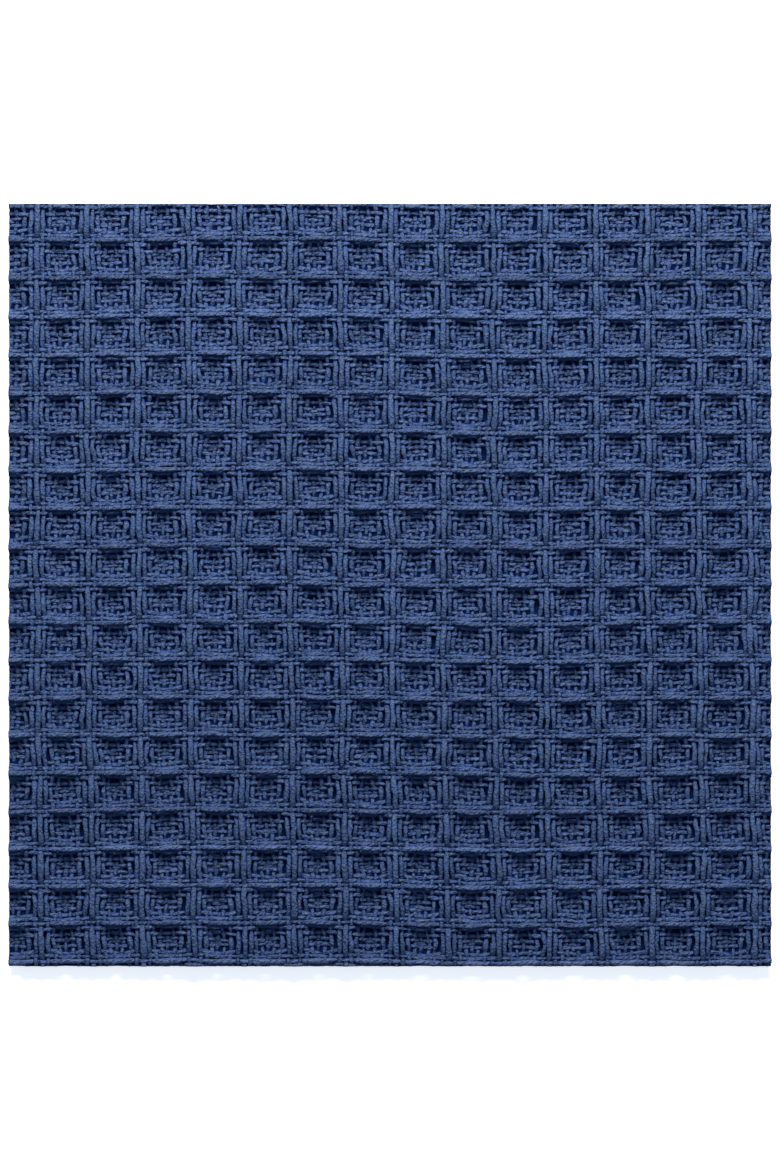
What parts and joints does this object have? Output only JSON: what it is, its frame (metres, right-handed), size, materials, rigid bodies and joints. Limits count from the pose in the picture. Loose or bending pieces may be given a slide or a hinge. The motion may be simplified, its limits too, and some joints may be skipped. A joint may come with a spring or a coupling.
{
  "type": "waffle weave cotton blanket cloth",
  "caption": "Flat square cut length of navy cotton cloth in waffle weave: raised ridges round sunken pits on both faces, soft and absorbent, for blankets and throws.",
  "frame": {"origin": "centre of the bottom of the bounding box, on the surface that the cloth lies on", "axes": "+Z out of the upper face, +X along the weft to the right of the picture, +Y along the warp to the top of the picture"},
  "size_m": [0.105, 0.105, 0.0028],
  "materials": {
    "navy_cotton": "matt two-ply cotton yarn, piece-dyed navy blue"
  },
  "bodies": {
    "root": {"waffle_cloth": "navy_cotton"}
  },
  "joints": []
}
